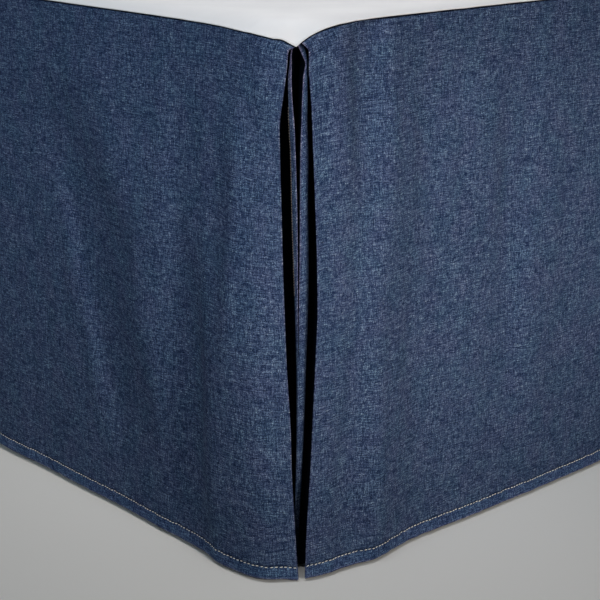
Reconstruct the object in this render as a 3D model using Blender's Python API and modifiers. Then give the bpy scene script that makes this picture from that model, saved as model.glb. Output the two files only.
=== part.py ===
"""A tailored bed skirt with split corners, hanging from a plain box spring on six legs.

Metres, +Z up. The origin is on the floor under the middle of the bed. The foot is at -Y, the head at +Y.
A white deck sheet lies on the box spring. Three flat panels, the drops, hang from its rim down to the
floor: one across the foot and one along each side. They meet in a split at each foot corner, and a narrow
pleat insert hangs behind each split. The head side is open.

A place on the skirt is told by two numbers. `along` is the distance round the rim from the middle of the
foot, negative on the left half. `share` is how far down the drop it is, from 0 at the seam to 1 at the hem.
"""

import math
from collections import namedtuple

import bmesh
import bpy

INCH = 0.0254

# Driving dimensions
BED_WIDTH = 60 * INCH
BED_LENGTH = 80 * INCH
DROP = 18 * INCH  # from the floor to the top of the box spring
CLOTH = 0.0012  # thickness of the panels
DECK_CLOTH = 0.0010
JOIN_GAP = 0.0003  # left between pieces that touch

# The box spring and its legs
BOX_INSET = 0.006  # how much smaller the box spring is than the skirt, all round
BOX_HEIGHT = 9 * INCH
BOX_CORNER = 0.115
BOX_CORNER_STEPS = 8
BOX_EDGE_STEPS = 3
LEG_TOP_RADIUS = 0.030
LEG_FOOT_RADIUS = 0.022
LEG_INSET = 0.110
LEG_SIDES = 20

# The rim of the skirt: the seam that joins the drops to the deck
RIM_CORNER = 0.056  # radius of the foot corners in plan
SPLIT_ANGLE = math.radians(53.6)  # how far round the corner from the foot panel the split is
DECK_TOP = DROP + JOIN_GAP + DECK_CLOTH
FOOT_SEAM = 0.4530
SIDE_SEAM = 0.4568
SPLIT_SEAM = 0.4397  # the corner of the deck sags at the split
FOOT_SAG_REACH = 0.028
SIDE_SAG_REACH = 0.016
TURN_DOWN = 0.022  # width of the deck's rim that slopes down to the seam
BOX_EDGE = TURN_DOWN - BOX_INSET  # the box spring's edges are rounded as far as the deck slopes
TURN_DOWN_RINGS = (0.0030, 0.0040, 0.0060, 0.0096)  # widths of the deck's rings, from the seam inward
HEAD_CORNER_STEPS = 6
HEM = 0.0020  # height of the hem over the floor

# The insert behind each split
INSERT_HALF = 0.100
INSERT_STANDOFF = 0.0026  # from the drops' middle surface to the insert's, where they lie together
INSERT_LEVEL_FROM = 0.060  # past this distance from the split, the insert runs level behind the drops
RIDGE_WALL = 0.0011  # how far a ridge's steep wall runs sideways

PULL_REACH = 0.050  # how far from the split a drawn-back edge still moves the panel

RIM_HALF_FOOT = BED_WIDTH / 2 - RIM_CORNER
RIM_ARC = RIM_CORNER * math.pi / 2
SPLIT_ALONG = RIM_HALF_FOOT + RIM_CORNER * SPLIT_ANGLE
SIDE_START = RIM_HALF_FOOT + RIM_ARC
SIDE_END = SIDE_START + BED_LENGTH - 2 * RIM_CORNER

# A fold is a soft ridge, or a trough where its rise is negative. `top` and `hem` are where its line starts
# and ends, as distances from the split, negative on the foot panel. The rises are at half the drop and at
# the hem.
Fold = namedtuple("Fold", "top hem width mid_rise hem_rise")
FOLDS = (
    Fold(top=-0.325, hem=-0.225, width=0.045, mid_rise=-0.0030, hem_rise=-0.0018),
    Fold(top=-0.230, hem=-0.135, width=0.030, mid_rise=0.0022, hem_rise=0.0012),
    Fold(top=-0.128, hem=-0.132, width=0.022, mid_rise=-0.0020, hem_rise=-0.0008),
    Fold(top=-0.056, hem=-0.068, width=0.022, mid_rise=0.0016, hem_rise=0.0037),
    Fold(top=0.051, hem=0.048, width=0.014, mid_rise=-0.0012, hem_rise=-0.0003),
    Fold(top=0.088, hem=0.067, width=0.020, mid_rise=0.0016, hem_rise=0.0022),
    Fold(top=0.124, hem=0.118, width=0.025, mid_rise=-0.0016, hem_rise=-0.0013),
    Fold(top=0.195, hem=0.216, width=0.035, mid_rise=0.0013, hem_rise=0.0009),
    Fold(top=0.236, hem=0.248, width=0.026, mid_rise=-0.0012, hem_rise=-0.0004),
    Fold(top=0.288, hem=0.275, width=0.028, mid_rise=0.0025, hem_rise=0.0008),
)
LEFT_FOLD_STRETCH = 1.15  # the left corner's folds lie a little further apart
LEFT_FOLD_RISE = 0.85

# Past the corners' folds the drops hang in long flutes of these wavelengths
Flute = namedtuple("Flute", "wavelength phase rise")
FLUTES = (
    Flute(wavelength=0.310, phase=0.4, rise=0.0018),
    Flute(wavelength=0.187, phase=2.1, rise=0.0012),
)
FLUTES_FROM = 0.300
FLUTES_FULL = 0.420

# The split, from the seam down. The edges of the drops, and the two ridges of the insert that show between
# them, are distances from the split's line. The rest are depths behind the drops: of the ridges' crests, of
# the gap between them, which closes lower down, and of the flanks on either side.
Section = namedtuple(
    "Section",
    "share foot_edge side_edge foot_outer foot_inner side_inner side_outer crest gap flank",
)
SECTIONS = (
    Section(0.000, -0.0005, 0.0005, -0.0045, -0.0030, 0.0035, 0.0050, 0.0026, 0.0026, 0.0026),
    Section(0.022, -0.0069, 0.0089, -0.0058, -0.0038, 0.0065, 0.0087, 0.0042, 0.0130, 0.0120),
    Section(0.056, -0.0084, 0.0090, -0.0071, -0.0036, 0.0056, 0.0090, 0.0044, 0.0210, 0.0190),
    Section(0.091, -0.0109, 0.0098, -0.0072, -0.0034, 0.0045, 0.0089, 0.0044, 0.0240, 0.0230),
    Section(0.143, -0.0131, 0.0114, -0.0064, -0.0014, 0.0037, 0.0094, 0.0044, 0.0150, 0.0240),
    Section(0.196, -0.0132, 0.0122, -0.0042, -0.0002, 0.0031, 0.0094, 0.0046, 0.0066, 0.0240),
    Section(0.294, -0.0118, 0.0131, -0.0037, 0.0010, 0.0032, 0.0099, 0.0052, 0.0058, 0.0240),
    Section(0.413, -0.0100, 0.0149, -0.0031, 0.0017, 0.0038, 0.0103, 0.0058, 0.0062, 0.0240),
    Section(0.504, -0.0086, 0.0153, -0.0023, 0.0017, 0.0038, 0.0094, 0.0068, 0.0072, 0.0240),
    Section(0.582, -0.0075, 0.0139, -0.0011, 0.0028, 0.0048, 0.0083, 0.0085, 0.0088, 0.0250),
    Section(0.696, -0.0052, 0.0115, -0.0003, 0.0030, 0.0050, 0.0082, 0.0110, 0.0112, 0.0260),
    Section(0.792, -0.0037, 0.0096, -0.0008, 0.0016, 0.0036, 0.0060, 0.0160, 0.0161, 0.0270),
    Section(0.877, -0.0016, 0.0076, -0.0008, 0.0016, 0.0036, 0.0060, 0.0210, 0.0211, 0.0270),
    Section(1.000, 0.0007, 0.0067, -0.0008, 0.0016, 0.0036, 0.0060, 0.0250, 0.0250, 0.0270),
)

# Columns of the drops, closer together near the splits: distances from a split, and even steps past them
NEAR_SPLIT = (
    0.0, 0.004, 0.009, 0.015, 0.023, 0.033, 0.045, 0.058, 0.072, 0.087,
    0.104, 0.124, 0.146, 0.170, 0.196, 0.224, 0.254, 0.286, 0.320, 0.356,
)
FOOT_MIDDLE_STEPS = 9
SIDE_MIDDLE_STEPS = 26

# Rows of the drops and of the inserts
DROP_SHARES = (0.0, 0.022, 0.091, 0.170, 0.294, 0.413, 0.504, 0.600, 0.720, 0.860, 1.0)
INSERT_SHARES = (
    0.0, 0.010, 0.022, 0.056, 0.091, 0.143, 0.196, 0.245,
    0.294, 0.350, 0.413, 0.504, 0.582, 0.696, 0.792, 0.877, 1.0,
)


def smooth(x):
    """Eases from 0 to 1 as x goes from 0 to 1."""
    x = min(max(x, 0.0), 1.0)
    return x * x * (3 - 2 * x)


def mix(low, high, weight):
    return low + (high - low) * weight


def spread(low, high, count):
    """count + 1 numbers from low to high, evenly spaced."""
    return [mix(low, high, i / count) for i in range(count + 1)]


# The rim in plan


def rim(along, outward=0.0):
    """The plan position at a distance round the rim, moved outward from it."""
    distance = abs(along)
    turned = min(max(distance - RIM_HALF_FOOT, 0.0), RIM_ARC) / RIM_CORNER
    radius = RIM_CORNER + outward
    x = min(distance, RIM_HALF_FOOT) + radius * math.sin(turned)
    past_corner = max(distance - SIDE_START, 0.0)
    y = -BED_LENGTH / 2 + RIM_CORNER - radius * math.cos(turned) + past_corner
    return math.copysign(x, along), y


def rim_place(x, y):
    """(along, inset) of the rim's nearest point to a place inside it, with round head corners too."""
    across = abs(x) - RIM_HALF_FOOT
    lengthwise = abs(y) - (BED_LENGTH / 2 - RIM_CORNER)
    if across > 0 and lengthwise > 0:
        inset = RIM_CORNER - math.hypot(across, lengthwise)
        along = RIM_HALF_FOOT + RIM_CORNER * math.atan2(across, lengthwise)
    elif across > lengthwise:
        inset = RIM_CORNER - across
        along = SIDE_START + max(y + BED_LENGTH / 2 - RIM_CORNER, 0.0)
    else:
        inset = RIM_CORNER - lengthwise
        along = abs(x)
    if y > 0 and lengthwise > 0:
        along = SIDE_END
    return math.copysign(along, x), inset


def seam_height(along):
    """Height of the seam. Each foot corner of the deck sags at its split."""
    past_split = abs(along) - SPLIT_ALONG
    if past_split < 0:
        return FOOT_SEAM - (FOOT_SEAM - SPLIT_SEAM) * math.exp(past_split / FOOT_SAG_REACH)
    return SIDE_SEAM - (SIDE_SEAM - SPLIT_SEAM) * math.exp(-past_split / SIDE_SAG_REACH)


def deck_height(along, inset):
    """Height of the deck's middle surface: level on the box spring, and sloped over its edge to the seam."""
    level = DECK_TOP - DECK_CLOTH / 2
    seam = seam_height(along) + DECK_CLOTH / 2
    off_level = 1 - min(max(inset / TURN_DOWN, 0.0), 1.0)
    return level - (level - seam) * off_level * off_level


# How the cloth hangs


def fold_rise(fold, share):
    """A fold grows from nothing at the seam, through its rise at half the drop, to its rise at the hem."""
    slope = 4 * fold.mid_rise - fold.hem_rise
    return share * (slope + share * (2 * fold.hem_rise - 4 * fold.mid_rise))


def swell(along, share):
    """How far the drops stand out from the rim's line, from their folds and flutes."""
    past_split = abs(along) - SPLIT_ALONG
    on_left = along < 0
    stretch = LEFT_FOLD_STRETCH if on_left else 1.0
    scale = LEFT_FOLD_RISE if on_left else 1.0
    total = 0.0
    for fold in FOLDS:
        line = stretch * mix(fold.top, fold.hem, share)
        off = (past_split - line) / (stretch * fold.width)
        total += scale * fold_rise(fold, share) * math.exp(-off * off)
    fade_in = smooth((abs(past_split) - FLUTES_FROM) / (FLUTES_FULL - FLUTES_FROM))
    for flute in FLUTES:
        wave = math.sin(2 * math.pi * along / flute.wavelength + flute.phase)
        total += fade_in * share * flute.rise * wave
    return total


def section(share):
    """The split's section at a share of the drop, in straight lines between the rows of SECTIONS."""
    for upper, lower in zip(SECTIONS, SECTIONS[1:]):
        if share <= lower.share:
            break
    weight = (share - upper.share) / (lower.share - upper.share)
    return Section(*(mix(a, b, weight) for a, b in zip(upper, lower)))


def drop_point(along, share):
    """A point of a drop's middle surface. The edges at a split are drawn back from it."""
    past_split = abs(along) - SPLIT_ALONG
    at = section(share)
    edge = at.side_edge if past_split > 0 else at.foot_edge
    top_edge = SECTIONS[0].side_edge if past_split > 0 else SECTIONS[0].foot_edge
    pull = (edge - top_edge) * math.exp(-abs(past_split - top_edge) / PULL_REACH)
    moved = math.copysign(abs(along) + pull, along)
    z = mix(seam_height(moved) - JOIN_GAP, HEM, share)
    return (*rim(moved, swell(moved, share)), z)


# A turn of the insert's section: its distance from the split, its depth behind the drops, and the columns up
# to the next turn
Turn = namedtuple("Turn", "place depth columns")


def insert_turns(share):
    """The insert runs level, down a flank, over two steep ridges, up the other flank and level again."""
    at = section(share)
    gap_wall = min(RIDGE_WALL, (at.side_inner - at.foot_inner) / 3)
    return (
        Turn(-INSERT_HALF, INSERT_STANDOFF, 2),
        Turn(-INSERT_LEVEL_FROM, INSERT_STANDOFF, 5),
        Turn(at.foot_outer - RIDGE_WALL, at.flank, 1),
        Turn(at.foot_outer, at.crest, 1),
        Turn(at.foot_inner, at.crest, 1),
        Turn(at.foot_inner + gap_wall, at.gap, 1),
        Turn(at.side_inner - gap_wall, at.gap, 1),
        Turn(at.side_inner, at.crest, 1),
        Turn(at.side_outer, at.crest, 1),
        Turn(at.side_outer + RIDGE_WALL, at.flank, 5),
        Turn(INSERT_LEVEL_FROM, INSERT_STANDOFF, 2),
        Turn(INSERT_HALF, INSERT_STANDOFF, 1),
    )


def insert_columns(share):
    """(distance from the split, depth) of the insert's columns, which follow its ridges down."""
    turns = insert_turns(share)
    columns = []
    for start, end in zip(turns, turns[1:]):
        for weight in spread(0.0, 1.0, start.columns)[:-1]:
            place = mix(start.place, end.place, weight)
            columns.append((place, mix(start.depth, end.depth, smooth(weight))))
    columns.append((turns[-1].place, turns[-1].depth))
    return columns


def insert_point(hand, past_split, depth, share):
    """A point of an insert's middle surface. Its top edge meets the deck's underside just inside the seam."""
    along = hand * (SPLIT_ALONG + past_split)
    top = deck_height(along, INSERT_STANDOFF - DECK_CLOTH) - DECK_CLOTH / 2 - JOIN_GAP
    return (*rim(along, swell(along, share) - depth), mix(top, HEM, share))


# Meshes


def add(bm, name, material, collection):
    """Makes an object from a bmesh, and frees the bmesh."""
    mesh = bpy.data.meshes.new(name)
    bm.to_mesh(mesh)
    bm.free()
    mesh.shade_smooth()
    mesh.materials.append(material)
    obj = bpy.data.objects.new(name, mesh)
    collection.objects.link(obj)
    return obj


def thicken(obj, thickness):
    """Gives a sheet its thickness, half on each side of its middle surface."""
    modifier = obj.modifiers.new("cloth thickness", "SOLIDIFY")
    modifier.thickness = thickness
    modifier.offset = 0.0


def sheet(name, columns, rows, place, material, collection):
    """A sheet of cloth: a grid of columns by rows whose corners are put where place says."""
    bm = bmesh.new()
    half = 0.5
    bmesh.ops.create_grid(bm, x_segments=columns, y_segments=rows, size=half)
    for vert in bm.verts:
        column = round((vert.co.x + half) * columns)
        row = round((vert.co.y + half) * rows)
        vert.co = place(column, row)
    obj = add(bm, name, material, collection)
    thicken(obj, CLOTH)


def plain_material(name, colour, roughness):
    material = bpy.data.materials.new(name)
    material.use_nodes = True
    shader = material.node_tree.nodes["Principled BSDF"]
    shader.inputs["Base Color"].default_value = (*colour, 1.0)
    shader.inputs["Roughness"].default_value = roughness
    shader.inputs["Metallic"].default_value = 0.0
    return material


def foot_stations():
    """Distances along the right half of the foot, from its middle to the split."""
    corner = [SPLIT_ALONG + SECTIONS[0].foot_edge - step for step in reversed(NEAR_SPLIT)]
    return spread(0.0, corner[0], FOOT_MIDDLE_STEPS)[:-1] + corner


def side_stations():
    """Distances along a side, from the split to the head corner."""
    corner = [SPLIT_ALONG + SECTIONS[0].side_edge + step for step in NEAR_SPLIT]
    return corner + spread(corner[-1], SIDE_END, SIDE_MIDDLE_STEPS)[1:]


def foot_drop(material, collection):
    half = foot_stations()
    stations = [-along for along in reversed(half[1:])] + half

    def place(column, row):
        return drop_point(stations[column], DROP_SHARES[row])

    sheet("foot_drop", len(stations) - 1, len(DROP_SHARES) - 1, place, material, collection)


def side_drop(name, hand, material, collection):
    stations = side_stations()

    def place(column, row):
        return drop_point(hand * stations[column], DROP_SHARES[row])

    sheet(name, len(stations) - 1, len(DROP_SHARES) - 1, place, material, collection)


def corner_insert(name, hand, material, collection):
    rows = [insert_columns(share) for share in INSERT_SHARES]

    def place(column, row):
        past_split, depth = rows[row][column]
        return insert_point(hand, past_split, depth, INSERT_SHARES[row])

    sheet(name, len(rows[0]) - 1, len(rows) - 1, place, material, collection)


def deck(material, collection):
    """The outline as one face, inset by rings, with the rings then bent down to the seam."""
    edge = CLOTH / 2  # the deck reaches out over the drops' thickness
    right = [rim(along, edge) for along in foot_stations() + side_stations()]
    for turn in spread(0.0, math.pi / 2, HEAD_CORNER_STEPS)[1:]:
        x = RIM_HALF_FOOT + (RIM_CORNER + edge) * math.cos(turn)
        y = BED_LENGTH / 2 - RIM_CORNER + (RIM_CORNER + edge) * math.sin(turn)
        right.append((x, y))
    left = [(-x, y) for x, y in reversed(right) if x > 0]
    bm = bmesh.new()
    outline = bm.faces.new([bm.verts.new((x, y, 0.0)) for x, y in right + left])
    outline.normal_update()
    for width in TURN_DOWN_RINGS:
        bmesh.ops.inset_region(
            bm, faces=[outline], thickness=width, use_boundary=True, use_even_offset=True
        )
    for vert in bm.verts:
        vert.co.z = deck_height(*rim_place(vert.co.x, vert.co.y))
    obj = add(bm, "deck", material, collection)
    thicken(obj, DECK_CLOTH)


def box_spring(material, collection):
    """A block with round upright corners and softened edges."""
    bm = bmesh.new()
    bmesh.ops.create_cube(bm, size=1.0)
    size = (BED_WIDTH - 2 * BOX_INSET, BED_LENGTH - 2 * BOX_INSET, BOX_HEIGHT)
    bmesh.ops.scale(bm, vec=size, verts=bm.verts)
    bmesh.ops.translate(bm, vec=(0.0, 0.0, DROP - BOX_HEIGHT / 2), verts=bm.verts)
    upright = [e for e in bm.edges if abs(e.verts[0].co.z - e.verts[1].co.z) > BOX_HEIGHT / 2]
    bmesh.ops.bevel(
        bm, geom=upright, offset=BOX_CORNER, segments=BOX_CORNER_STEPS, profile=0.5, affect="EDGES"
    )
    obj = add(bm, "box_spring", material, collection)
    softened = obj.modifiers.new("softened edges", "BEVEL")
    softened.width = BOX_EDGE
    softened.segments = BOX_EDGE_STEPS
    softened.limit_method = "ANGLE"
    softened.angle_limit = math.radians(60)


def leg(name, x, y, material, collection):
    """A plain tapered round leg."""
    bm = bmesh.new()
    length = DROP - BOX_HEIGHT - JOIN_GAP
    bmesh.ops.create_cone(
        bm,
        cap_ends=True,
        segments=LEG_SIDES,
        radius1=LEG_FOOT_RADIUS,
        radius2=LEG_TOP_RADIUS,
        depth=length,
    )
    obj = add(bm, name, material, collection)
    obj.location = (x, y, length / 2)


def main():
    for obj in list(bpy.data.objects):
        bpy.data.objects.remove(obj, do_unlink=True)
    parts = bpy.data.collections.new("bed_skirt")
    bpy.context.scene.collection.children.link(parts)

    chambray = plain_material("indigo chambray", (0.045, 0.065, 0.117), 0.9)
    cotton = plain_material("white cotton", (0.72, 0.71, 0.74), 0.85)
    ticking = plain_material("box spring ticking", (0.62, 0.60, 0.56), 0.85)
    beech = plain_material("beech", (0.45, 0.28, 0.15), 0.55)

    box_spring(ticking, parts)
    leg_x = BED_WIDTH / 2 - LEG_INSET
    leg_y = BED_LENGTH / 2 - LEG_INSET
    for row, y in (("foot", -leg_y), ("middle", 0.0), ("head", leg_y)):
        leg(f"leg_{row}_right", leg_x, y, beech, parts)
        leg(f"leg_{row}_left", -leg_x, y, beech, parts)
    deck(cotton, parts)
    foot_drop(chambray, parts)
    for side, hand in (("right", 1.0), ("left", -1.0)):
        side_drop(f"side_drop_{side}", hand, chambray, parts)
        corner_insert(f"corner_insert_{side}", hand, chambray, parts)


main()
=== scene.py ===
"""The looks of the bed skirt: chambray drops with their stitched hems, pleat inserts, deck, box spring, legs.

Metres, +Z up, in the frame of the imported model. The foot of the bed is at -Y and the head at +Y.
A place on a drop is told by two numbers. `along` is the distance round the rim from the middle of the foot,
negative on the left half. `share` is how far down the drop it is, from 0 at the seam to 1 at the hem.
Both may be arrays, and then so are the points worked out from them.
"""

import math
from collections import namedtuple

import bpy
import numpy as np
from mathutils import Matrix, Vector


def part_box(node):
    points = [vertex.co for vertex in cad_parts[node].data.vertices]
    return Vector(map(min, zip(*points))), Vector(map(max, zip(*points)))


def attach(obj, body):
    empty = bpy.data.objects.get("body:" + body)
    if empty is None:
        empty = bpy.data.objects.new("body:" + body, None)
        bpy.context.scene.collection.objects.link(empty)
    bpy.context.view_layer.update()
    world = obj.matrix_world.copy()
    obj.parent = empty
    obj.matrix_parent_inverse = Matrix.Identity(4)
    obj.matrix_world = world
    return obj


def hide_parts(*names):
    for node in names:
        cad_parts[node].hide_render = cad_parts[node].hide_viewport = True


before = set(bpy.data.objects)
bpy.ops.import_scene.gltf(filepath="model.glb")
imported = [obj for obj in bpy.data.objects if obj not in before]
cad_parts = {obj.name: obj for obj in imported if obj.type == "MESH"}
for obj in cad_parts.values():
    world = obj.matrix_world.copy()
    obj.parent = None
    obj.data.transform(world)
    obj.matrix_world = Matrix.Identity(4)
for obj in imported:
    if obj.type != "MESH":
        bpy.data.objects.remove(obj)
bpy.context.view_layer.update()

# The frame's own sizes
deck_low, deck_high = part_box("deck")
box_low, box_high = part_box("box_spring")
drop_low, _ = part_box("foot_drop")

# Thicknesses and gaps, as the solids have them
CLOTH = 0.0012
DECK_CLOTH = 0.0010
JOIN_GAP = 0.0003
BED_WIDTH = deck_high.x - deck_low.x - CLOTH
BED_LENGTH = deck_high.y - deck_low.y - CLOTH
DECK_TOP = deck_high.z
HEM = drop_low.z
HEM_LIFT = 0.0017  # how much higher than the solids' hem the cloth's own hem is
HEM_LIFT_GAP = 0.008  # how near to a split it sinks to that
HEM_CLIMB = 0.006  # how much it climbs toward the foot's middle, per metre
HEM_CLIMB_FROM = 0.100  # how far from the split it starts to

# The rim, as the solids have it
RIM_CORNER = 0.056
SPLIT_ANGLE = math.radians(53.6)
FOOT_SEAM = 0.4530
SIDE_SEAM = 0.4568
SPLIT_SEAM = 0.4397
FOOT_SAG_REACH = 0.028
SIDE_SAG_REACH = 0.016
SEAM_SHOULDER = 0.0014  # only in the looks: how much less the foot seam sags just before its split
SHOULDER_PLACE = -0.0100
SHOULDER_WIDTH = 0.0055
TURN_DOWN = 0.022
RIM_HALF_FOOT = BED_WIDTH / 2 - RIM_CORNER
RIM_ARC = RIM_CORNER * math.pi / 2
SPLIT_ALONG = RIM_HALF_FOOT + RIM_CORNER * SPLIT_ANGLE
SIDE_START = RIM_HALF_FOOT + RIM_ARC
SIDE_END = SIDE_START + BED_LENGTH - 2 * RIM_CORNER

# The folds of the drops, as the solids have them. Places past the split are negative on the foot.
Fold = namedtuple("Fold", "top hem width mid_rise hem_rise")
FOLDS = (
    Fold(-0.325, -0.225, 0.045, -0.0030, -0.0018),
    Fold(-0.230, -0.135, 0.030, 0.0022, 0.0012),
    Fold(-0.128, -0.132, 0.022, -0.0020, -0.0008),
    Fold(-0.056, -0.068, 0.022, 0.0016, 0.0037),
    Fold(0.051, 0.048, 0.014, -0.0012, -0.0003),
    Fold(0.088, 0.067, 0.020, 0.0016, 0.0022),
    Fold(0.124, 0.118, 0.025, -0.0016, -0.0013),
    Fold(0.195, 0.216, 0.035, 0.0013, 0.0009),
    Fold(0.236, 0.248, 0.026, -0.0012, -0.0004),
    Fold(0.288, 0.275, 0.028, 0.0025, 0.0008),
)
LEFT_FOLD_STRETCH = 1.15
LEFT_FOLD_RISE = 0.85
Flute = namedtuple("Flute", "wavelength phase rise")
FLUTES = (
    Flute(0.310, 0.4, 0.0018),
    Flute(0.187, 2.1, 0.0012),
)
FLUTES_FROM = 0.300
FLUTES_FULL = 0.420

# The split, from the seam down: the edges of the drops and the two ridges of the insert, as distances from
# the split's line, and the depths of its crests, of the groove between them and of its flanks.
Section = namedtuple(
    "Section",
    "share foot_edge side_edge foot_outer foot_inner side_inner side_outer crest groove flank",
)
SECTIONS = (
    Section(0.000, -0.0005, 0.0040, -0.0035, -0.0018, 0.0010, 0.0050, 0.0026, 0.0026, 0.0026),
    Section(0.010, -0.0052, 0.0066, -0.0037, -0.0026, 0.0022, 0.0062, 0.0034, 0.0090, 0.0080),
    Section(0.022, -0.0066, 0.0096, -0.0043, -0.0034, 0.0042, 0.0074, 0.0042, 0.0140, 0.0120),
    Section(0.034, -0.0069, 0.0100, -0.0048, -0.0034, 0.0060, 0.0088, 0.0043, 0.0180, 0.0160),
    Section(0.046, -0.0074, 0.0100, -0.0054, -0.0034, 0.0080, 0.0096, 0.0044, 0.0200, 0.0180),
    Section(0.064, -0.0083, 0.0101, -0.0062, -0.0034, 0.0066, 0.0096, 0.0044, 0.0215, 0.0200),
    Section(0.091, -0.0098, 0.0113, -0.0061, -0.0031, 0.0058, 0.0098, 0.0044, 0.0240, 0.0230),
    Section(0.143, -0.0128, 0.0129, -0.0055, -0.0011, 0.0049, 0.0100, 0.0044, 0.0240, 0.0240),
    Section(0.196, -0.0129, 0.0140, -0.0042, 0.0000, 0.0043, 0.0111, 0.0046, 0.0180, 0.0240),
    Section(0.294, -0.0120, 0.0160, -0.0031, 0.0014, 0.0042, 0.0113, 0.0052, 0.0110, 0.0240),
    Section(0.413, -0.0109, 0.0183, -0.0013, 0.0022, 0.0039, 0.0124, 0.0058, 0.0090, 0.0240),
    Section(0.504, -0.0095, 0.0188, 0.0001, 0.0022, 0.0032, 0.0121, 0.0068, 0.0090, 0.0240),
    Section(0.582, -0.0082, 0.0172, 0.0013, 0.0028, 0.0036, 0.0113, 0.0085, 0.0088, 0.0250),
    Section(0.696, -0.0052, 0.0147, 0.0018, 0.0032, 0.0040, 0.0102, 0.0110, 0.0112, 0.0260),
    Section(0.792, -0.0041, 0.0124, 0.0013, 0.0024, 0.0034, 0.0090, 0.0140, 0.0141, 0.0270),
    Section(0.877, -0.0020, 0.0098, 0.0006, 0.0020, 0.0034, 0.0079, 0.0190, 0.0191, 0.0270),
    Section(1.000, 0.0011, 0.0077, 0.0002, 0.0018, 0.0032, 0.0070, 0.0250, 0.0250, 0.0270),
)
PULL_REACH = 0.050
INSERT_HALF = 0.100
INSERT_STANDOFF = 0.0026
INSERT_LEVEL_FROM = 0.060
RIDGE_WALL = 0.0009
RIDGE_CROWN = 0.0004  # how far a ridge's crest bulges

# Creases that only the looks have, each a low step in the cloth along a path of (past the split, share)
# places. Going away from the foot's middle, the cloth steps out by `step` within about `width`, and eases
# back to where it would hang over `reach` on either side.
Crease = namedtuple("Crease", "width reach step path")
CREASES = (
    Crease(0.014, 0.055, 0.0200, (
        (-0.098, 0.32), (-0.094, 0.55), (-0.092, 0.70), (-0.096, 0.84), (-0.100, 1.06),
    )),
    Crease(0.031, 0.110, 0.0185, (
        (-0.283, 0.10), (-0.238, 0.28), (-0.200, 0.43), (-0.195, 0.58), (-0.178, 0.74), (-0.156, 0.94),
    )),
    Crease(0.011, 0.050, -0.0115, (
        (-0.318, 0.20), (-0.288, 0.39), (-0.262, 0.58), (-0.241, 0.74), (-0.226, 0.94),
    )),
    Crease(0.010, 0.034, 0.0044, ((-0.150, 0.22), (-0.172, 0.36), (-0.196, 0.54))),
    Crease(0.010, 0.034, -0.0044, ((-0.133, 0.02), (-0.131, 0.22), (-0.137, 0.38), (-0.149, 0.60))),
    Crease(0.008, 0.026, 0.0040, ((-0.061, 0.06), (-0.060, 0.30), (-0.061, 0.62))),
    Crease(0.007, 0.026, -0.0040, ((-0.046, 0.06), (-0.045, 0.30), (-0.044, 0.66))),
    Crease(0.012, 0.040, -0.0130, (
        (-0.024, 0.14), (-0.021, 0.38), (-0.020, 0.56), (-0.017, 0.75), (-0.014, 1.25),
    )),
    Crease(0.010, 0.060, 0.0055, ((-0.034, -0.04), (-0.032, 0.06), (-0.030, 0.20))),
    Crease(0.012, 0.036, 0.0105, ((0.022, -0.16), (0.026, 0.20), (0.032, 0.50), (0.028, 0.90))),
    Crease(0.008, 0.028, -0.0058, ((0.045, -0.12), (0.050, 0.12), (0.057, 0.36))),
    Crease(0.010, 0.034, 0.0120, ((0.079, -0.16), (0.077, 0.17), (0.079, 0.44))),
    Crease(0.020, 0.085, -0.0120, (
        (0.108, -0.06), (0.122, 0.26), (0.120, 0.42), (0.116, 0.60), (0.119, 0.80), (0.118, 1.20),
    )),
    Crease(0.010, 0.030, 0.0090, ((0.072, 0.30), (0.066, 0.50), (0.062, 0.72))),
    Crease(0.011, 0.036, 0.0190, ((0.065, 0.58), (0.064, 0.78), (0.065, 1.08))),
    Crease(0.010, 0.034, 0.0046, ((0.144, 0.12), (0.147, 0.24), (0.153, 0.40))),
    Crease(0.017, 0.055, -0.0085, ((0.222, 0.10), (0.226, 0.26), (0.228, 0.46))),
    Crease(0.014, 0.050, 0.0090, ((0.250, 0.36), (0.253, 0.56), (0.262, 0.86))),
)

# Soft level ridges and troughs, where the cloth leaves the edge of the box spring
Roll = namedtuple("Roll", "past half_length share half_height rise")
ROLLS = (
    Roll(-0.245, 0.075, 0.540, 0.330, 0.0055),
    Roll(-0.255, 0.090, 0.135, 0.050, 0.0020),
    Roll(0.130, 0.110, 0.120, 0.060, -0.0014),
    Roll(0.090, 0.090, 0.860, 0.055, 0.0012),
)
INWARD_LIMIT = 0.0042  # how far in from the rim's line the cloth may hang
LIMIT_EASE = 0.0006
HEM_FLARE = 0.0012  # how far the stiff hem stands out at its edge
HEM_FLARE_REACH = 0.034
ROLLS_FROM = 0.04  # share of the drop over which the rolls grow to their full size

# Fine forms that only the looks have
SEAM_TUCK = 0.0020  # how far the drops' top edges turn in under the deck's lip
SEAM_TUCK_REACH = 0.0022
DECK_LIP = 0.0007  # how far the deck's rim stands over the drops
RIM_SHADE_REACH = 0.018  # how far in from its rim the deck is greyer with painted shade
HEM_BAND = 0.0115  # height of the doubled hem
HEM_EXTRA = 0.0010  # how much the doubled cloth adds inside
HEM_EXTRA_EASE = 0.0012
EDGE_ROUNDING = 0.4  # how far a cloth's edge is rounded out, in its thicknesses
STITCH_LINE = 0.0105  # height of the hem stitching over the hem's edge
STITCH_GROOVE = 0.00035
STITCH_GROOVE_WIDTH = 0.0011
STITCH_PITCH = 0.0037
STITCH_LENGTH = 0.0024
STITCH_THREAD = 0.00036  # radius of the thread
STITCH_TILT = math.radians(8)
STITCH_TILT_SPREAD = math.radians(3)
STITCH_DRIFT = 0.00012  # how unevenly the stitches are spaced
STITCH_WANDER = 0.00010  # how unevenly high they lie
STITCH_SINK = 0.55  # how far a thread's middle stands out, in its radii
STITCH_FLATNESS = 0.8
STITCH_PROFILE = ((-1.0, 0.0), (-0.82, 0.75), (-0.4, 1.0), (0.4, 1.0), (0.82, 0.75), (1.0, 0.0))
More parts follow.
